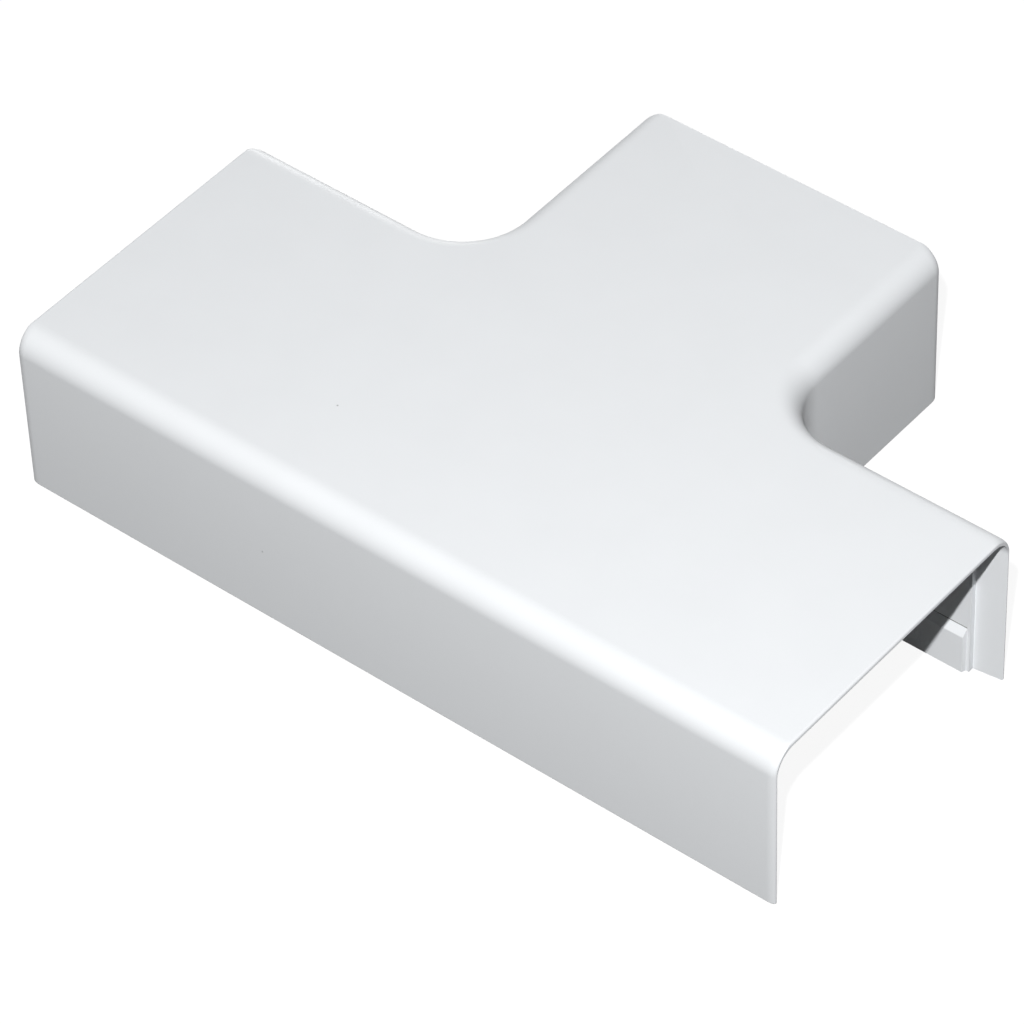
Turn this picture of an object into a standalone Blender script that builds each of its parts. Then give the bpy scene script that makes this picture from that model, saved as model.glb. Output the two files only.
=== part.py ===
"""Surface trunking tee cover: one injection-moulded piece, open underneath and at its three mouths.

The run lies along X and the branch leaves it towards +Y. Z = 0 is the plane of the foot that sits
on the wall, and the origin is the middle of the cover's outer size in plan. Lengths are in metres.
"""

from math import cos, pi, radians, sin, sqrt

import bmesh
import bpy

# Outer form
RUN_LENGTH = 0.102        # from the left mouth to the right mouth
COVER_WIDTH = 0.0404      # outside width of the run and of the branch
COVER_HEIGHT = 0.022      # from the foot to the top plate
BRANCH_REACH = 0.0302     # from the run's back wall to the branch mouth
CORNER_RADIUS = 0.0079    # outer face of the two inside corners, in plan
TOP_EDGE_RADIUS = 0.003   # rounding between the top plate and the walls
RIM_RADIUS = 0.0008       # rounding of the outer edges round each mouth
FOOT_RADIUS = 0.0003      # rounding of the outer edge of the foot

# Section of the shell
WALL = 0.0016             # side walls
TOP_PLATE = 0.0018        # top plate
CEILING_RADIUS = 0.0014   # fillet between the walls and the underside of the top plate

# Sockets that take the ends of the trunking
SOCKET_DEPTH = 0.0036     # from the mouth to the stop
SOCKET_WALL = 0.0009      # what is left of the side walls
SOCKET_PLATE = 0.0012     # what is left of the top plate

# Clip band that grips the trunking, along the foot of every wall
CLIP_PROUD = 0.0005       # how far it stands in from the wall
CLIP_HEIGHT = 0.0052      # its upright face
CLIP_LEAD_IN = 0.0011     # the slope above that face, back to the wall
CLIP_SETBACK = 0.0004     # from the stop to the end of the band
CLIP_CHAMFER = 0.0002     # length of the chamfer at each end of the band

# Facets
CORNER_STEPS = 16         # each inside corner
EDGE_STEPS = 10           # each rounded top edge
FILLET_STEPS = 5          # the ceiling fillet
RIM_STEPS = 4             # each upright rounded edge at the mouths
FOOT_STEPS = 2            # the rounded edge of the foot

OVERCUT = 0.004           # how far a cutter runs past the faces that it opens
SAME_POINT = 1e-7         # points closer than this are one point

DEPTH = COVER_WIDTH + BRANCH_REACH
FRONT = -DEPTH / 2
RUN_BACK = FRONT + COVER_WIDTH
RUN_AXIS = FRONT + COVER_WIDTH / 2
BRANCH_MOUTH = DEPTH / 2
RUN_MOUTH = RUN_LENGTH / 2
BAND_END = SOCKET_DEPTH + CLIP_SETBACK


def clear_scene():
    """Start from a scene that holds nothing."""
    for old in list(bpy.data.objects):
        bpy.data.objects.remove(old, do_unlink=True)


def arc(x, y, radius, start, finish, steps):
    """Points along an arc about (x, y) between two angles in degrees, both ends included."""
    angles = [radians(start + (finish - start) * step / steps) for step in range(steps + 1)]
    return [(x + radius * cos(angle), y + radius * sin(angle)) for angle in angles]


def tee_outline(inset, overrun, rounding=0.0, band=None):
    """Tee in plan, anticlockwise, set in from the outer walls and run out past the mouths.

    The corners at the mouths are rounded. An inside corner is an arc about a point in the notch
    outside the tee, so it keeps its centre and its radius grows with the inset. Where a band is
    given, the walls step in by that much between the mouths, over a chamfer at each end of the band.
    """
    end, mouth = RUN_MOUTH + overrun - rounding, BRANCH_MOUTH + overrun - rounding
    front, back = FRONT + inset + rounding, RUN_BACK - inset - rounding
    side = COVER_WIDTH / 2 - inset - rounding
    notch_x, notch_y = COVER_WIDTH / 2 + CORNER_RADIUS, RUN_BACK + CORNER_RADIUS
    notch_radius = CORNER_RADIUS + inset

    front_band, back_band, side_band = [], [], []
    if band is not None:
        band_x, band_y = RUN_MOUTH - BAND_END, BRANCH_MOUTH - BAND_END
        chamfer = CLIP_CHAMFER * band / CLIP_PROUD
        front_band = [(band_x - chamfer, front + band), (band_x, front)]
        back_band = [(band_x, back), (band_x - chamfer, back - band)]
        side_band = [(side - band, band_y - chamfer), (side, band_y)]
        notch_radius += band

    right = (front_band
             + arc(end, front, rounding, -90, 0, RIM_STEPS)
             + arc(end, back, rounding, 0, 90, RIM_STEPS)
             + back_band
             + arc(notch_x, notch_y, notch_radius, 270, 180, CORNER_STEPS)
             + side_band
             + arc(side, mouth, rounding, 0, 90, RIM_STEPS))
    return right + [(-x, y) for x, y in reversed(right)]


def channel_section(half_width, ceiling, radius):
    """Upright channel section as (across, height) points, with rounded top corners and a low foot."""
    top_corner = arc(half_width - radius, ceiling - radius, radius, 0, 90, EDGE_STEPS)
    right = [(half_width, -OVERCUT)] + top_corner
    return right + [(-across, height) for across, height in reversed(right)]


def loft(name, rings):
    """Closed solid through rings that have the same number of points, capped at both ends."""
    bm = bmesh.new()
    stack = [[bm.verts.new(point) for point in ring] for ring in rings]
    for low, high in zip(stack, stack[1:]):
        for k in range(len(low)):
            n = (k + 1) % len(low)
            bm.faces.new((low[k], low[n], high[n], high[k]))
    bm.faces.new(reversed(stack[0]))
    bm.faces.new(stack[-1])
    bmesh.ops.remove_doubles(bm, verts=bm.verts, dist=SAME_POINT)
    bmesh.ops.recalc_face_normals(bm, faces=bm.faces)

    mesh = bpy.data.meshes.new(name)
    bm.to_mesh(mesh)
    bm.free()
    made = bpy.data.objects.new(name, mesh)
    bpy.context.scene.collection.objects.link(made)
    return made


def tee_loft(name, levels):
    """Tee solid through levels from the bottom up, each a height and what tee_outline takes."""
    return loft(name, [[(x, y, height) for x, y in tee_outline(*form)] for height, *form in levels])


def quarter_round(radius, steps):
    """Distances from a face at which a rounded edge has its points, from the face inwards."""
    return [radius * (1 - cos(pi / 2 * k / steps)) for k in range(steps + 1)]


def stand_back(radius, away):
    """How far a rounded edge stands back from its wall, at a distance away from its face."""
    rise = max(radius - away, 0.0)
    return radius - sqrt(radius ** 2 - rise ** 2)


def outer_block():
    """Solid tee with a wide rounding along the top of its walls, and small ones at mouths and foot."""
    heights = quarter_round(FOOT_RADIUS, FOOT_STEPS)
    heights += [COVER_HEIGHT - below for below in reversed(quarter_round(TOP_EDGE_RADIUS, EDGE_STEPS))]
    levels = []
    for height in heights:
        foot = stand_back(FOOT_RADIUS, height)
        wall = max(foot, stand_back(TOP_EDGE_RADIUS, COVER_HEIGHT - height))
        mouth = max(foot, stand_back(RIM_RADIUS, COVER_HEIGHT - height))
        levels.append((height, wall, -mouth, RIM_RADIUS - mouth))
    return tee_loft("tee_cover", levels)


def cavity_cutter():
    """The hollow between the walls: narrow at the clip band, then up to the filleted ceiling."""
    ceiling = COVER_HEIGHT - TOP_PLATE
    levels = [(-OVERCUT, WALL, OVERCUT, 0.0, CLIP_PROUD),
              (CLIP_HEIGHT, WALL, OVERCUT, 0.0, CLIP_PROUD),
              (CLIP_HEIGHT + CLIP_LEAD_IN, WALL, OVERCUT, 0.0, 0.0)]
    levels += [(height, WALL + CEILING_RADIUS - across, OVERCUT, 0.0, 0.0)
               for across, height in arc(0.0, ceiling - CEILING_RADIUS, CEILING_RADIUS, 0, 90, FILLET_STEPS)]
    return tee_loft("cavity_cutter", levels)


def socket_cutter(name, place):
    """Wider channel just inside one mouth; place(along, across, height) puts its points in space."""
    section = channel_section(COVER_WIDTH / 2 - SOCKET_WALL, COVER_HEIGHT - SOCKET_PLATE,
                              TOP_EDGE_RADIUS - SOCKET_WALL)
    return loft(name, [[place(along, across, height) for across, height in section]
                       for along in (-SOCKET_DEPTH, OVERCUT)])


def cut(body, cutter):
    """Take the cutter out of the body, and leave it in the scene as a hidden wire guide."""
    step = body.modifiers.new(cutter.name, "BOOLEAN")
    step.operation = "DIFFERENCE"
    step.solver = "EXACT"
    step.object = cutter
    cutter.hide_render = True
    cutter.display_type = "WIRE"


def white_plastic():
    """Smooth white PVC with a slight sheen."""
    material = bpy.data.materials.new("white_plastic")
    material.use_nodes = True
    shader = material.node_tree.nodes["Principled BSDF"]
    shader.inputs["Base Color"].default_value = (0.84, 0.86, 0.88, 1.0)
    shader.inputs["Roughness"].default_value = 0.35
    shader.inputs["Metallic"].default_value = 0.0
    return material


def tee_cover():
    """The whole moulding: outer tee, hollowed out, with a socket at each of its three mouths."""
    cover = outer_block()
    cut(cover, cavity_cutter())
    mouths = {
        "left_socket_cutter": lambda along, across, height: (-RUN_MOUTH - along, RUN_AXIS + across, height),
        "right_socket_cutter": lambda along, across, height: (RUN_MOUTH + along, RUN_AXIS + across, height),
        "branch_socket_cutter": lambda along, across, height: (across, BRANCH_MOUTH + along, height),
    }
    for name, place in mouths.items():
        cut(cover, socket_cutter(name, place))
    cover.data.materials.append(white_plastic())
    cover.data.shade_smooth()
    cover.data.set_sharp_from_angle(angle=pi / 6)
    return cover


clear_scene()
tee_cover()
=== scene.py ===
# %% [markdown]
# # A white tee cover for cable trunking
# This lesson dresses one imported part: the moulded cover that clips over the place where a branch of
# surface trunking leaves a straight run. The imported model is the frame. It fixes the size and the
# place of everything, so the first step is to load it and to note how big it is.

# %% Load the frame and measure it
from math import cos, pi, radians, sin

import bmesh
import bpy
from mathutils import Matrix, Vector


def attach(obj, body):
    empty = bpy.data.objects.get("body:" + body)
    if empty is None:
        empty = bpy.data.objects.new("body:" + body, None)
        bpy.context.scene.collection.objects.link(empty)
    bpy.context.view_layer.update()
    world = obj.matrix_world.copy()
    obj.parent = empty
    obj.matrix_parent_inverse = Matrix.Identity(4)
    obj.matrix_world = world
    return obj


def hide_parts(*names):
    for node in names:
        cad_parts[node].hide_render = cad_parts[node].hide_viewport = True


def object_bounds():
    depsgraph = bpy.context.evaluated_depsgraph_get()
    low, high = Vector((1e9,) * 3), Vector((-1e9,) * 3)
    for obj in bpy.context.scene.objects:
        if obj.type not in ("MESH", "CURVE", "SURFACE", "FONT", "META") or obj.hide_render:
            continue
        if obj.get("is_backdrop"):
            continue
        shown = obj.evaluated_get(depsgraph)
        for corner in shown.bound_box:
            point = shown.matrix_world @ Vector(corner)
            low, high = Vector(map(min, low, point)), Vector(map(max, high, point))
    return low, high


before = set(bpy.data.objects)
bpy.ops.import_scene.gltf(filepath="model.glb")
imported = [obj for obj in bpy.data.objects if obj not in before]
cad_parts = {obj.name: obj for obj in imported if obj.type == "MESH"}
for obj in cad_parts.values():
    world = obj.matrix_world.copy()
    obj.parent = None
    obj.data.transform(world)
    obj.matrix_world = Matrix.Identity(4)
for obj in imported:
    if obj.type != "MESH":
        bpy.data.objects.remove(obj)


def plain_box(box):
    """A box's two corners as plain lists of numbers."""
    return [[float(value) for value in corner] for corner in box]


def show_box(what, box):
    """Print a box's two corners in millimetres."""
    for which, corner in zip(("lowest", "highest"), box):
        print(what, which, "corner:", [round(value * 1000, 2) for value in corner], "mm")


cad_box = plain_box(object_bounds())
show_box("packed cover,", cad_box)

# %% [markdown]
# ## The sizes of the moulding
# The cover is a thin shell, a little thinner at its sockets. Every size that shapes it is written
# here once, under the name that the tree below gives to its input. All are in metres, except Rim
# stretch, which is a ratio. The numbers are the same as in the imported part, so the dressed cover
# fills the same box. Only the rims of the mouths are finer here. Their upright edges turn in over
# a long, shallow rounding, their top edge is almost sharp, and two tapers open each socket a
# little towards its mouth, which leads the trunking in.
#
# The steps say how many flat facets stand in for each rounding.

# %% Sizes of the cover
COVER_SIZES = {
    "Run length": 0.102,
    "Cover width": 0.0404,
    "Cover height": 0.022,
    "Branch reach": 0.0302,
    "Corner radius": 0.0079,
    "Top edge radius": 0.003,
    "Rim radius": 0.0004,
    "Rim stretch": 2.6,
    "Top rim radius": 0.0003,
    "Foot radius": 0.0003,
    "Wall": 0.0016,
    "Top plate": 0.0018,
    "Ceiling radius": 0.0014,
    "Socket depth": 0.0036,
    "Socket wall": 0.0009,
    "Socket plate": 0.0012,
    "Wall taper": 0.00045,
    "Plate taper": 0.00065,
    "Clip proud": 0.0005,
    "Clip height": 0.0052,
    "Clip lead-in": 0.0011,
    "Clip setback": 0.0004,
    "Clip chamfer": 0.0002,
}
COVER_STEPS = {"Corner steps": 24, "Edge steps": 16}
OVERCUT = 0.004        # how far a core runs on past the faces that it opens
SAME_POINT = 1e-6      # points of a line or a loft that are closer than this are one point
SAME_CUT = 2e-6        # the same, where the cores have cut the block
print("sizes given to the cover:", len(COVER_SIZES))

# %% [markdown]
# ## Small tools for building node trees
# A tree that is built in a script soon turns into a long list of nodes and links. Two small tools
# keep it readable. The first adds a node and fills its sockets. The second lets a socket stand in
# an ordinary formula, so that a plus sign becomes a Math node set to Add. The others wrap the few
# nodes that come back again and again.

# %% Tools for node trees
def feed(socket, value):
    """Link a socket to another node's output, or set it to a plain value."""
    value = value.socket if isinstance(value, Field) else value
    if isinstance(value, bpy.types.NodeSocket):
        socket.id_data.links.new(value, socket)
    else:
        socket.default_value = value


def add_node(tree, kind, inputs=None, **settings):
    """Add a node, set its options, then fill its inputs, which are given by name or by number."""
    node = tree.nodes.new(kind)
    node.location = (190 * (len(tree.nodes) % 12), -220 * (len(tree.nodes) // 12))
    for option, value in settings.items():
        setattr(node, option, value)
    for place, value in (inputs or {}).items():
        feed(node.inputs[place], value)
    return node


class Field:
    """A number that varies over the mesh. Each sum with it adds one Math node to its tree."""

    def __init__(self, socket):
        self.socket = socket

    def maths(self, operation, *others):
        inputs = {place: value for place, value in enumerate((self, *others))}
        node = add_node(self.socket.id_data, "ShaderNodeMath", inputs, operation=operation)
        return Field(node.outputs[0])

    def __add__(self, other):
        return self.maths("ADD", other)

    def __sub__(self, other):
        return self.maths("SUBTRACT", other)

    def __mul__(self, other):
        return self.maths("MULTIPLY", other)

    def __truediv__(self, other):
        return self.maths("DIVIDE", other)


def new_tree(name, inputs, outputs, kind="GeometryNodeTree"):
    """An empty tree with named sockets: it, its inputs as fields, and its output node."""
    tree = bpy.data.node_groups.new(name, kind)
    for side, sockets in (("INPUT", inputs), ("OUTPUT", outputs)):
        for label, value in sockets.items():
            tree.interface.new_socket(label, in_out=side, socket_type="NodeSocket" + value)
    entry = tree.nodes.new("NodeGroupInput")
    fields = {label: Field(entry.outputs[label]) for label in inputs}
    return tree, fields, tree.nodes.new("NodeGroupOutput")


def pick(tree, index, items, kind):
    """The item that an index chooses, from a list of numbers or of vectors."""
    node = tree.nodes.new("GeometryNodeIndexSwitch")
    node.data_type = kind
    while len(node.index_switch_items) < len(items):
        node.index_switch_items.new()
    feed(node.inputs["Index"], index)
    for place, item in enumerate(items):
        feed(node.inputs[place + 1], item)
    return Field(node.outputs[0])


def vector(tree, x, y, z):
    """Three fields as one vector."""
    return Field(add_node(tree, "ShaderNodeCombineXYZ", {"X": x, "Y": y, "Z": z}).outputs[0])


def split(tree, source):
    """A vector as its three fields."""
    return [Field(part) for part in add_node(tree, "ShaderNodeSeparateXYZ", {0: source}).outputs]


def point_index(tree):
    """The number of each point."""
    return Field(add_node(tree, "GeometryNodeInputIndex").outputs[0])


def point_place(tree):
    """Where each point lies, as a vector."""
    return Field(add_node(tree, "GeometryNodeInputPosition").outputs[0])


def move(tree, geometry, how, value):
    """Geometry whose points are sent to a Position, or shifted by an Offset."""
    return add_node(tree, "GeometryNodeSetPosition", {"Geometry": geometry, how: value}).outputs[0]


def merge(tree, geometry, distance):
    """Geometry whose points closer than a distance are one."""
    inputs = {"Geometry": geometry, "Distance": distance}
    return add_node(tree, "GeometryNodeMergeByDistance", inputs).outputs[0]


print("tools ready: feed, add_node, Field, new_tree, pick, vector, split, move, merge")

# %% [markdown]
# ## A line with rounded corners
# A moulding's section is drawn as a draughtsman draws it: straight lines between corners, and then
# a radius at each corner. Fillet Curve does the second half. This helper makes the first half from
# a Mesh Line, whose points are sent to their corners one by one with an Index Switch.

# %% Rounded lines
def rounded_line(tree, corners, radii, steps, closed=False):
    """A curve through corners given as (x, y, z) fields, each rounded to its own radius."""
    index = point_index(tree)
    line = add_node(tree, "GeometryNodeMeshLine", {"Count": len(corners)})
    places = pick(tree, index, [vector(tree, *corner) for corner in corners], "VECTOR")
    placed = move(tree, line.outputs[0], "Position", places)
    curve = add_node(tree, "GeometryNodeMeshToCurve", {"Mesh": placed})
    curve = add_node(tree, "GeometryNodeSetSplineCyclic",
                     {"Geometry": curve.outputs[0], "Cyclic": closed})
    rounding = pick(tree, index, radii, "FLOAT")
    fillet = add_node(tree, "GeometryNodeFilletCurve",
                      {"Curve": curve.outputs[0], "Count": steps, "Radius": rounding}, mode="POLY")
    return fillet.outputs[0]


print("tool ready: rounded_line")

# %% [markdown]
# ## The rule of the tee
# Seen from above, the cover is a tee with eight corners. The whole form follows one rule: at each
# height the same outline is drawn again, set in from the walls by some amount and run out or drawn
# back at the mouths. So a section line is enough to describe a solid. Each point of that line says
# how far the walls stand back (X), how far the mouths run out (Y) and how high it lies (Z).
#
# One thing breaks that rule. The clip band that grips the trunking runs along the foot of the walls
# but stops short of the mouths, in a chamfer. So below the band's top, whatever stands in from the
# plain wall counts as band, and the outline has a short slanted step at each end of it.
#
# Modelling the tee by hand and rounding its edges afterwards would also work, but the roundings
# meet in awkward little corners. Here a cylinder with as many rings as the section has points is
# bent into the tee, ring by ring, and the corners come out closed and even.

# %% The tree that carries a section round the tee
SHARED_SIZES = ("Run length", "Cover width", "Branch reach", "Corner radius", "Wall")
LOFT_SIZES = ("Mouth radius", "Mouth stretch", "Band top", "Band end", "Band slant")
STATIONS = 7           # four corners and three band ends, on each side of the middle line


def tee_loft_tree():
    """Closed solid that carries a section line round the outline of the tee."""
    kinds = {"Section": "Geometry"} | dict.fromkeys(SHARED_SIZES + LOFT_SIZES, "Float")
    tree, size, end = new_tree("tee_loft", kinds | {"Corner steps": "Int"}, {"Solid": "Geometry"})

    # The rings: one for each point of the section, from the highest down
    section = add_node(tree, "GeometryNodeCurveToMesh", {"Curve": size["Section"]})
    section = merge(tree, section.outputs[0], SAME_POINT)
    count = add_node(tree, "GeometryNodeAttributeDomainSize", {"Geometry": section})
    levels = Field(count.outputs["Point Count"])
    steps = size["Corner steps"]
    station_points = steps + 1
    ring_points = station_points * (2 * STATIONS)
    cylinder = add_node(tree, "GeometryNodeMeshCylinder",
                        {"Vertices": ring_points, "Side Segments": levels - 1}, fill_type="NGON")

    # Where a point belongs: its level, its side of the tee, its station, and how far round that
    index = point_index(tree)
    level = levels - 1 - (index / ring_points).maths("FLOOR")
    along = index.maths("FLOORED_MODULO", ring_points)
    right_side = along.maths("LESS_THAN", ring_points / 2)
    nearer = along.maths("MINIMUM", ring_points - 1 - along)
    station = ((nearer + 0.5) / station_points).maths("FLOOR")
    turn = (nearer - station * station_points) / steps

    # What the section says at that level
    sample = add_node(tree, "GeometryNodeSampleIndex",
                      {"Geometry": section, "Value": point_place(tree), "Index": level},
                      data_type="FLOAT_VECTOR")
    inset, overrun, height = split(tree, sample.outputs[0])

    # What counts as band, and the plain wall behind it
    has_band = height.maths("LESS_THAN", size["Band top"])
    band = (inset - size["Wall"]).maths("MAXIMUM", 0.0) * has_band
    wall = inset - band

    # The outline's own lines, and the roundings at the mouths
    depth = size["Cover width"] + size["Branch reach"]
    front = depth * -0.5
    back = front + size["Cover width"]
    side = size["Cover width"] / 2 - wall
    widest = size["Mouth radius"]
    rounding = (widest + overrun).maths("MINIMUM", widest).maths("MAXIMUM", 0.0)
    stretched = rounding * size["Mouth stretch"]
    run_end = size["Run length"] / 2 + overrun - stretched
    branch_end = depth / 2 + overrun - stretched
    notch_x = size["Cover width"] / 2 + size["Corner radius"]
    notch_y = back + size["Corner radius"]
    notch = size["Corner radius"] + inset
    band_x, band_y = size["Run length"] / 2 - size["Band end"], depth / 2 - size["Band end"]
    stepping_out, stepping_in, slant = band - band * turn, band * turn, size["Band slant"]

    # The stations of the right side, as (centre x, centre y, reach x, reach y, start, sweep)
    stations = [
        (band_x - stepping_out * slant, front + wall + stepping_out, 0.0, 0.0, 0.0, 0.0),
        (run_end, front + wall + rounding, stretched, rounding, -pi / 2, pi / 2),
        (run_end, back - wall - rounding, stretched, rounding, 0.0, pi / 2),
        (band_x - stepping_in * slant, back - wall - stepping_in, 0.0, 0.0, 0.0, 0.0),
        (notch_x, notch_y, notch, notch, 3 * pi / 2, -pi / 2),
        (side - stepping_out, band_y - stepping_out * slant, 0.0, 0.0, 0.0, 0.0),
        (side - rounding, branch_end, rounding, stretched, 0.0, pi / 2),
    ]
    centre_x, centre_y, reach_x, reach_y, start, sweep = (
        pick(tree, station, list(column), "FLOAT") for column in zip(*stations))

    angle = start + sweep * turn
    x = (centre_x + reach_x * angle.maths("COSINE")) * (right_side * 2 - 1)
    y = centre_y + reach_y * angle.maths("SINE")
    bent = move(tree, cylinder.outputs["Mesh"], "Position", vector(tree, x, y, height))
    feed(end.inputs["Solid"], merge(tree, bent, SAME_POINT))
    return tree


tee_loft = tee_loft_tree()
print("tee_loft nodes:", len(tee_loft.nodes))

# %% [markdown]
# ## The block and its core
# The cover is made the way that its mould makes it. A solid tee is the outside. A second tee, cut
# away from it, is the core that leaves the hollow, with the clip band standing in along its foot.
# Each of them is one section line, carried round by the tree above.

# %% Sections of the block and of its core
def stand_back(radius, away):
    """How far a rounded edge stands back from its wall, at a distance away from its face."""
    rise = (radius - away).maths("MAXIMUM", 0.0)
    return radius - (radius * radius - rise * rise).maths("MAXIMUM", 0.0).maths("SQRT")


def block_section(tree, size):
    """Up from the foot and round the top edge, drawn back a little at the mouths' rims."""
    height, edge, foot = size["Cover height"], size["Top edge radius"], size["Foot radius"]
    corners = [(foot, 0.0, 0.0), (0.0, 0.0, 0.0), (0.0, 0.0, height), (edge, 0.0, height)]
    line = rounded_line(tree, corners, [0.0, foot, edge, 0.0], size["Edge steps"])
    level = split(tree, point_place(tree))[2]
    drawn_back = stand_back(foot, level) + stand_back(size["Top rim radius"], height - level)
    return move(tree, line, "Offset", vector(tree, 0.0, drawn_back * -1, 0.0))


def core_section(tree, size, band_top):
    """Up the clip band, over its lead-in, then the wall and the filleted ceiling."""
    wall, fillet = size["Wall"], size["Ceiling radius"]
    band, ceiling = wall + size["Clip proud"], size["Cover height"] - size["Top plate"]
    corners = [(band, OVERCUT, -OVERCUT), (band, OVERCUT, size["Clip height"]),
               (wall, OVERCUT, band_top), (wall, OVERCUT, ceiling),
               (wall + fillet, OVERCUT, ceiling)]
    return rounded_line(tree, corners, [0.0, 0.0, 0.0, fillet, 0.0], size["Edge steps"])


def carry_round(tree, size, section, mouth_radius, band_top):
    """The solid of one section, with what lies below the band's top able to stand in as band."""
    inputs = {name: size[name] for name in SHARED_SIZES + ("Corner steps",)}
    inputs |= {"Section": section, "Mouth radius": mouth_radius,
               "Mouth stretch": size["Rim stretch"], "Band top": band_top,
               "Band end": size["Socket depth"] + size["Clip setback"],
               "Band slant": size["Clip chamfer"] / size["Clip proud"]}
    return add_node(tree, "GeometryNodeGroup", inputs, node_tree=tee_loft).outputs["Solid"]


print("tools ready: block_section, core_section, carry_round")

# %% [markdown]
# ## The sockets
# The sockets repeat at the three mouths, so one socket core is made, set on three points with
# Instance on Points, and turned to face outwards. It is a channel with rounded corners. To taper
# it, each point moves away from the middle of its corner's rounding, further the nearer it lies to
# the mouth.

# %% The cores of the sockets
def socket_core(tree, size):
    """One socket's core, lying along X with its mouth outwards. A profile's own Y points down."""
    half = size["Cover width"] / 2 - size["Socket wall"]
    plate = (size["Cover height"] - size["Socket plate"]) * -1
    rounding, deep = size["Top edge radius"] - size["Socket wall"], size["Socket depth"]
    corners = [(half * -1, OVERCUT, 0.0), (half * -1, plate, 0.0),
               (half, plate, 0.0), (half, OVERCUT, 0.0)]
    profile = rounded_line(tree, corners, [0.0, rounding, rounding, 0.0], size["Edge steps"],
                           closed=True)
    path = add_node(tree, "GeometryNodeCurvePrimitiveLine",
                    {"Start": vector(tree, deep * -1, 0.0, 0.0), "End": (OVERCUT, 0.0, 0.0)})
    core = add_node(tree, "GeometryNodeCurveToMesh",
                    {"Curve": path.outputs[0], "Profile Curve": profile, "Fill Caps": True})

    along, across, up = split(tree, point_place(tree))
    opening = (along + deep) / deep
    out_y = (across.maths("ABSOLUTE") - half + rounding).maths("MAXIMUM", 0.0)
    out_z = (up + plate + rounding).maths("MAXIMUM", 0.0)
    reach = (out_y * out_y + out_z * out_z).maths("SQRT")
    sideways = across.maths("SIGN") * opening * size["Wall taper"] * out_y / reach
    upwards = opening * size["Plate taper"] * out_z / reach
    return move(tree, core.outputs[0], "Offset", vector(tree, 0.0, sideways, upwards))


def socket_cores(tree, size):
    """The socket core at each of the three mouths."""
    run_mouth, depth = size["Run length"] / 2, size["Cover width"] + size["Branch reach"]
    run_axis = (depth - size["Cover width"]) * -0.5
    mouths = [(run_mouth * -1, run_axis, 0.0), (run_mouth, run_axis, 0.0), (0.0, depth / 2, 0.0)]
    turns = [(0.0, 0.0, pi), (0.0, 0.0, 0.0), (0.0, 0.0, pi / 2)]
    index = point_index(tree)
    line = add_node(tree, "GeometryNodeMeshLine", {"Count": len(mouths)})
    places = pick(tree, index, [vector(tree, *mouth) for mouth in mouths], "VECTOR")
    cores = add_node(tree, "GeometryNodeInstanceOnPoints",
                     {"Points": move(tree, line.outputs[0], "Position", places),
                      "Instance": socket_core(tree, size),
                      "Rotation": pick(tree, index, turns, "VECTOR")})
    return add_node(tree, "GeometryNodeRealizeInstances", {"Geometry": cores.outputs[0]}).outputs[0]


print("tools ready: socket_core, socket_cores")

# %% [markdown]
# ## The whole moulding as one tree
# Now the mould opens: the core and the sockets are cut away from the block. Each half of a real
# mould has its own polish. So the cores' faces are marked before the cut, and the mark stays on the
# faces that the cut leaves behind. It picks their material at the end.

# %% The tree of the cover
CORE_MARK = "core_side"
NO_BAND = -1.0         # a height below every point, so that none counts as band


def cover_tree(face_finish, core_finish):
    """The moulded shell: the block, less its core, less a socket at each of its three mouths."""
    kinds = dict.fromkeys(COVER_SIZES, "Float") | dict.fromkeys(COVER_STEPS, "Int")
    tree, size, end = new_tree("tee_cover", kinds, {"Cover": "Geometry"})
    band_top = size["Clip height"] + size["Clip lead-in"]
    block = carry_round(tree, size, block_section(tree, size), size["Rim radius"], NO_BAND)
    core = carry_round(tree, size, core_section(tree, size, band_top), 0.0, band_top)

    shell = add_node(tree, "GeometryNodeMeshBoolean", {"Mesh 1": block},
                     solver="EXACT", operation="DIFFERENCE")
    for cutter in (core, socket_cores(tree, size)):
        mark = add_node(tree, "GeometryNodeStoreNamedAttribute",
                        {"Geometry": cutter, "Name": CORE_MARK, "Value": True},
                        data_type="BOOLEAN", domain="FACE")
        feed(shell.inputs["Mesh 2"], mark.outputs[0])
    merged = merge(tree, shell.outputs["Mesh"], SAME_CUT)

    real = add_node(tree, "GeometryNodeRealizeInstances", {"Geometry": merged})
    faces = add_node(tree, "GeometryNodeSetMaterial",
                     {"Geometry": real.outputs[0], "Material": face_finish})
    marked = add_node(tree, "GeometryNodeInputNamedAttribute", {"Name": CORE_MARK},
                      data_type="BOOLEAN")
    done = add_node(tree, "GeometryNodeSetMaterial",
                    {"Geometry": faces.outputs[0], "Material": core_finish,
                     "Selection": marked.outputs[0]})
    feed(end.inputs["Cover"], done.outputs[0])
    return tree


print("tool ready: cover_tree, with", len(COVER_SIZES | COVER_STEPS), "inputs")

# %% [markdown]
# ## The plastic
# The cover is white rigid PVC. Its outside comes off a polished mould, so it is smooth, with a
# soft sheen and a very slight waviness where the plastic sank as it cooled. Its core side is
# duller. Both sides share one effect, the fine unevenness that a mould leaves, so that effect is a
# node group, built once and given its own values in each material.

# %% Shared effect: what the mould leaves on a surface
WAVE_DETAIL, GRAIN_DETAIL = 2.0, 3.0
MOTTLE_SCALE, MOTTLE_DETAIL = 140.0, 5.0
SPECK_SCALE = 120.0    # cells to a metre, each with one point that the face seldom comes near
SPECK_CORE, SPECK_EDGE = 0.010, 0.018  # distance from that point, in cells, where a speck shows


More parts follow.
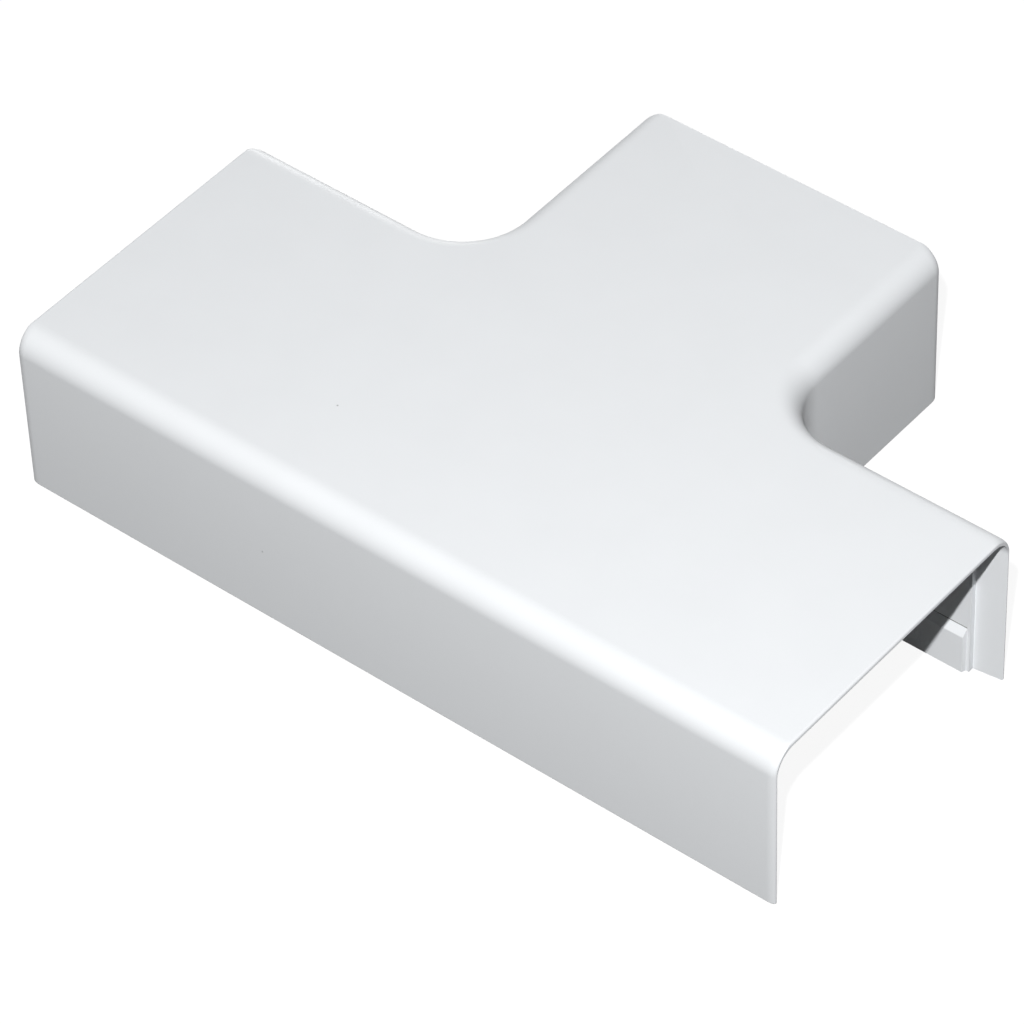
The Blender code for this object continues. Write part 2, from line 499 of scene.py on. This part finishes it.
def mould_skin_group():
    """A moulded face's waves and grain as a height, and masks for its tint and for its specks."""
    inputs = dict.fromkeys(("Wave scale", "Grain scale", "Grain share"), "Float")
    outputs = dict.fromkeys(("Height", "Mottle", "Dust"), "Float")
    tree, given, end = new_tree("mould_skin", inputs | {"Place": "Vector"}, outputs,
                                kind="ShaderNodeTree")

    def noise(scale, detail):
        """A cloudy pattern between 0 and 1."""
        node = add_node(tree, "ShaderNodeTexNoise",
                        {"Vector": given["Place"], "Scale": scale, "Detail": detail})
        return Field(node.outputs[0])

    waves = noise(given["Wave scale"], WAVE_DETAIL)
    grain = noise(given["Grain scale"], GRAIN_DETAIL)
    feed(end.inputs["Height"], waves + grain * given["Grain share"])
    feed(end.inputs["Mottle"], noise(MOTTLE_SCALE, MOTTLE_DETAIL))
    cells = add_node(tree, "ShaderNodeTexVoronoi", {"Vector": given["Place"], "Scale": SPECK_SCALE})
    specks = add_node(tree, "ShaderNodeMapRange",
                      {"Value": cells.outputs["Distance"], "From Min": SPECK_CORE,
                       "From Max": SPECK_EDGE, "To Min": 1.0, "To Max": 0.0})
    feed(end.inputs["Dust"], specks.outputs[0])
    return tree


mould_skin = mould_skin_group()
print("mould_skin nodes:", len(mould_skin.nodes))

# %% [markdown]
# ## Two finishes of the same plastic
# The colour is the white of the photographed cover, slightly cool. It varies by a hundredth or so,
# as moulded white always does, and the roughness varies with it. The bump is a hundredth of a
# millimetre or less: enough to break a reflection, and far too little to be seen as texture. Last
# come the marks: a few dark specks, and a fine dark line above the clip band, which is painted
# shade in the crease there.

# %% The plastic's two materials
WHITE = (0.84, 0.86, 0.88)
# A dark colour for the specks, and for the painted shade in the crease above the clip band
SPECK_AND_SHADE_COLOUR = (0.10, 0.10, 0.09)
TINT_LOW, TINT_HIGH = 0.992, 1.006
MOTTLE_LOW, MOTTLE_HIGH = 0.3, 0.7
SHEEN_SWING = 0.04     # how far the roughness strays either way
SPECK_SHADE = 0.5
# Where the painted shade lies: a fine dark line in the crease above the clip band, ending before the
# mouths
CREASE_HEIGHT, CREASE_WIDTH = 0.00640, 0.00014
CREASE_END_X, CREASE_END_Y = 0.0470, 0.0313
MIX_FACTOR, MIX_FIRST, MIX_SECOND, MIX_RESULT = 0, 6, 7, 2     # a Mix node's sockets for colours


def crease_shade_mask(tree, place):
    """A mask for the painted shade in the crease above the clip band, which stops short of the
    mouths.
    """
    x, y, z = split(tree, place)
    line = (z - CREASE_HEIGHT).maths("ABSOLUTE").maths("LESS_THAN", CREASE_WIDTH / 2)
    in_run = x.maths("ABSOLUTE").maths("LESS_THAN", CREASE_END_X)
    return line * in_run * y.maths("LESS_THAN", CREASE_END_Y)


def white_plastic(name, skin_values, roughness, specular, bump, tone, crease=0.0):
    """White PVC with a given skin and sheen. Tone shifts the white; crease sets how dark the painted
    shade above the clip band is.
    """
    material = bpy.data.materials.new(name)
    material.use_nodes = True
    tree = material.node_tree
    place = add_node(tree, "ShaderNodeTexCoord").outputs["Object"]
    skin = add_node(tree, "ShaderNodeGroup", node_tree=mould_skin)
    for label, value in ({"Place": place} | skin_values).items():
        feed(skin.inputs[label], value)

    def by_mottle(low, high):
        """A value that follows the mottle from low to high."""
        inputs = {"Value": skin.outputs["Mottle"], "From Min": MOTTLE_LOW,
                  "From Max": MOTTLE_HIGH, "To Min": low, "To Max": high}
        return add_node(tree, "ShaderNodeMapRange", inputs).outputs[0]

    def mix(factor, first, second):
        """The first colour, turned into the second by a factor."""
        node = add_node(tree, "ShaderNodeMix", data_type="RGBA")
        for socket, value in ((MIX_FACTOR, factor), (MIX_FIRST, first), (MIX_SECOND, second)):
            feed(node.inputs[socket], value)
        return node.outputs[MIX_RESULT]

    tints = [(*(value * tone * tint for value in WHITE), 1.0) for tint in (TINT_LOW, TINT_HIGH)]
    marks = Field(skin.outputs["Dust"]) * SPECK_SHADE
    if crease:
        # the crease line is painted shade, mixed in with the specks
        marks = marks.maths("MAXIMUM", crease_shade_mask(tree, place) * crease)
    relief = add_node(tree, "ShaderNodeBump", {"Height": skin.outputs["Height"], "Distance": bump})

    shader = tree.nodes["Principled BSDF"]
    feed(shader.inputs["Base Color"], mix(marks, mix(by_mottle(0.0, 1.0), *tints), (*SPECK_AND_SHADE_COLOUR, 1.0)))
    feed(shader.inputs["Roughness"], by_mottle(roughness - SHEEN_SWING, roughness + SHEEN_SWING))
    feed(shader.inputs["Specular IOR Level"], specular)
    feed(shader.inputs["Normal"], relief.outputs[0])
    return material


moulded_face = white_plastic(
    "moulded_face", {"Wave scale": 60.0, "Grain scale": 2500.0, "Grain share": 0.2},
    roughness=0.5, specular=0.25, bump=0.000006, tone=1.0)
# The core side's tone of 1.05 is painted light: a lighter white that stands in for the extra light on
# the lit inner walls.
core_face = white_plastic(
    "core_face", {"Wave scale": 45.0, "Grain scale": 1800.0, "Grain share": 0.3},
    # crease: the painted shade above the clip band, at 0.7 of the dark colour
    roughness=0.55, specular=0.15, bump=0.00001, tone=1.05, crease=0.7)
print("finishes:", moulded_face.name, core_face.name)

# %% [markdown]
# ## From tree to piece
# The tree runs as a modifier on an empty mesh. Its sizes are set by each socket's identifier,
# because two sockets may share a name. The evaluated result is then copied to a plain mesh, and
# the modifier goes away, so what is left is ordinary geometry that any other program can read.

# %% Make the cover
def run_tree(name, tree, sizes):
    """An object that holds what the tree makes from these sizes, as a plain mesh at the origin."""
    start = bpy.data.objects.new(name + "_start", bpy.data.meshes.new(name + "_start"))
    bpy.context.scene.collection.objects.link(start)
    modifier = start.modifiers.new("shape", "NODES")
    modifier.node_group = tree
    sockets = [item for item in tree.interface.items_tree if item.in_out == "INPUT"]
    for socket in sockets:
        modifier[socket.identifier] = sizes[socket.name]
    graph = bpy.context.evaluated_depsgraph_get()
    mesh = bpy.data.meshes.new_from_object(
        start.evaluated_get(graph), preserve_all_data_layers=True, depsgraph=graph)
    start.modifiers.remove(modifier)
    bpy.data.objects.remove(start, do_unlink=True)
    mesh.name = name

    # Unused material slots go, and the faces keep their materials
    slots = [face.material_index for face in mesh.polygons]
    used = sorted(set(slots))
    finishes = [mesh.materials[slot] for slot in used]
    mesh.materials.clear()
    for finish in finishes:
        mesh.materials.append(finish)
    for face, slot in zip(mesh.polygons, slots):
        face.material_index = used.index(slot)

    piece = bpy.data.objects.new(name, mesh)
    bpy.context.scene.collection.objects.link(piece)
    return piece


cover = run_tree("moulded_cover", cover_tree(moulded_face, core_face), COVER_SIZES | COVER_STEPS)
print("cover:", len(cover.data.vertices), "points,", len(cover.data.polygons), "faces,",
      [finish.name for finish in cover.data.materials])

# %% [markdown]
# ## The smallest roundings
# Sharp edges do not exist on a moulding. A very small bevel takes them off where the cores met the
# block, at the mouths, the stops and the clip band. It catches the thin light lines seen there.

# %% Smooth shading and broken edges
EDGE_BREAK = 0.00012
EDGE_BREAK_STEPS = 2
SHARP_ANGLE = radians(20)


def edge_facts(piece):
    """How many edges lack two faces, and the volume inside, in cubic centimetres."""
    bm = bmesh.new()
    bm.from_mesh(piece.data)
    loose = sum(1 for line in bm.edges if len(line.link_faces) != 2)
    volume = bm.calc_volume(signed=True) * 1e6
    bm.free()
    return loose, round(volume, 3)


print("open edges and volume in cm3:", edge_facts(cover))
cover.data.shade_smooth()
broken = cover.modifiers.new("edge_break", "BEVEL")
broken.width = EDGE_BREAK
broken.segments = EDGE_BREAK_STEPS
broken.limit_method = "ANGLE"
broken.angle_limit = SHARP_ANGLE
broken.harden_normals = True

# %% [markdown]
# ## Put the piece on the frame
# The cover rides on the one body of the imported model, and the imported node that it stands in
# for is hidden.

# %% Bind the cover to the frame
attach(cover, "root")
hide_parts("tee_cover")
print("piece:", cover.name)

# %% [markdown]
# ## The floor
# The photograph has a plain white ground. The floor is a pale sheet that the cover stands on. To
# the camera, and to reflections, most of its white is a plain glow just under strength 1, so the
# ground reads as white without more light on the object. The rest is lit paint, so it keeps a soft
# shadow. In bounced light the glow is off and the paint is darker, as the photograph's shadow
# inside the mouth is dark. The sky follows the same rule.

# %% Floor and world
FLOOR_SIZE = 3.0
FLOOR_DROP = 0.00003   # keeps the floor from sharing a plane with the foot
FLOOR_COLOUR = 0.04    # the paint in bounced light
FLOOR_SEEN = 0.13      # the paint as it is seen, on top of the glow
GLOW = 0.92
SKY_LEVEL = 0.05


def seen_directly(tree):
    """A mask that is 1 for what the camera, a reflection or glass sees, and 0 for bounced light."""
    rays = add_node(tree, "ShaderNodeLightPath")
    seen = Field(rays.outputs["Is Camera Ray"])
    for kind in ("Is Glossy Ray", "Is Transmission Ray"):
        seen = seen.maths("MAXIMUM", rays.outputs[kind])
    return seen


def pale_floor():
    """The floor's material: plain paint for bounced light, and mostly a white glow to the eye."""
    material = bpy.data.materials.new("pale_floor")
    material.use_nodes = True
    tree = material.node_tree
    tree.nodes.remove(tree.nodes["Principled BSDF"])
    seen = seen_directly(tree)
    shade = seen * (FLOOR_SEEN - FLOOR_COLOUR) + FLOOR_COLOUR
    paint = add_node(tree, "ShaderNodeBsdfDiffuse", {"Color": vector(tree, shade, shade, shade)})
    glow = add_node(tree, "ShaderNodeEmission",
                    {"Color": (1.0, 1.0, 1.0, 1.0), "Strength": seen * GLOW})
    both = add_node(tree, "ShaderNodeAddShader", {0: paint.outputs[0], 1: glow.outputs[0]})
    feed(tree.nodes["Material Output"].inputs["Surface"], both.outputs[0])
    return material


half_floor = FLOOR_SIZE / 2
floor_corners = [(across * half_floor, away * half_floor, -FLOOR_DROP)
                 for across, away in ((-1, -1), (1, -1), (1, 1), (-1, 1))]
floor_mesh = bpy.data.meshes.new("floor")
floor_mesh.from_pydata(floor_corners, [], [(0, 1, 2, 3)])
floor_mesh.materials.append(pale_floor())
floor = bpy.data.objects.new("floor", floor_mesh)
bpy.context.scene.collection.objects.link(floor)
floor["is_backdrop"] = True

world = bpy.data.worlds.new("studio")
world.use_nodes = True
bpy.context.scene.world = world
sky = world.node_tree.nodes["Background"]
feed(sky.inputs["Color"], (1.0, 1.0, 1.0, 1.0))
feed(sky.inputs["Strength"], seen_directly(world.node_tree) * (1 - SKY_LEVEL) + SKY_LEVEL)
print("floor", FLOOR_SIZE, "m, sky level", SKY_LEVEL)

# %% [markdown]
# ## The light
# The key lamp, high on the right and towards the camera, gives the photograph its order of tones:
# the top plate is brightest, then the long front wall, then the end of the branch. Its direction
# was read from those tones and from the edge of the shadow inside the right mouth. It is small, as
# that edge is crisp. The fill lamp is broad and stands low behind the cover, on the left. It hardly
# shows in the photograph's view, but it keeps the back walls light when they are looked at too. A
# level of 1 means that a white surface turned square to the lamp comes out just white.

# %% The lamps
KEY = {"towards": (0.381, -0.523, 0.762), "distance": 0.65, "size": 0.012, "level": 1.075}
FILL = {"towards": (-0.55, 0.83, 0.06), "distance": 0.8, "size": 0.3, "level": 0.58}


def add_lamp(name, towards, distance, size, level):
    """A round lamp that looks at the origin from a direction, as strong as its level says there."""
    lamp = bpy.data.lights.new(name, "AREA")
    lamp.shape = "DISK"
    lamp.size = size
    lamp.energy = level * pi ** 2 * distance ** 2
    holder = bpy.data.objects.new(name, lamp)
    towards = Vector(towards).normalized()
    holder.location = towards * distance
    holder.rotation_euler = towards.to_track_quat("Z", "Y").to_euler()
    bpy.context.scene.collection.objects.link(holder)
    print(name, round(lamp.energy, 2), "W")


add_lamp("key_lamp", **KEY)
add_lamp("fill_lamp", **FILL)

# %% [markdown]
# ## The camera
# The view was found from the photograph: the edges of a box-like object of known proportions fix
# where the camera stood, how long its lens was and how far it was tilted. It looks from 0.63 m
# away, 41 degrees round to the right and 45 degrees up, through a long lens, slightly rolled.

# %% Camera
AZIMUTH, ELEVATION, ROLL = radians(40.581), radians(44.653), radians(-2.324)
DISTANCE, SIDE_SHIFT, UP_SHIFT = 0.625, 0.000311, 0.007116
LENS, SENSOR_WIDTH = 204.18, 36.0      # in millimetres
NEAREST = 0.01                         # where the camera starts to see
AIM = Vector((0.0, -0.0151, 0.0))

back = Vector((sin(AZIMUTH) * cos(ELEVATION), -cos(AZIMUTH) * cos(ELEVATION), sin(ELEVATION)))
level_right = Vector((cos(AZIMUTH), sin(AZIMUTH), 0.0))
level_up = back.cross(level_right)
right = cos(ROLL) * level_right + sin(ROLL) * level_up
up = -sin(ROLL) * level_right + cos(ROLL) * level_up

lens = bpy.data.cameras.new("photo_camera")
lens.lens = LENS
lens.sensor_width = SENSOR_WIDTH
lens.clip_start = NEAREST
camera = bpy.data.objects.new("photo_camera", lens)
place = AIM + right * SIDE_SHIFT + up * UP_SHIFT + back * DISTANCE
camera.matrix_world = Matrix.Translation(place) @ Matrix((right, up, back)).transposed().to_4x4()
bpy.context.scene.collection.objects.link(camera)
bpy.context.scene.camera = camera
bpy.context.scene.view_settings.view_transform = "Standard"
print("camera at", [round(value, 4) for value in place])

# %% [markdown]
# ## Last measure of the size
# The dressed cover is meant to fill the imported cover's box and not leave it. Its box is measured
# and printed here, beside the imported one printed at the start.

# %% Sizes, and the end
dressed_box = plain_box(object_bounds())
show_box("dressed cover,", dressed_box)
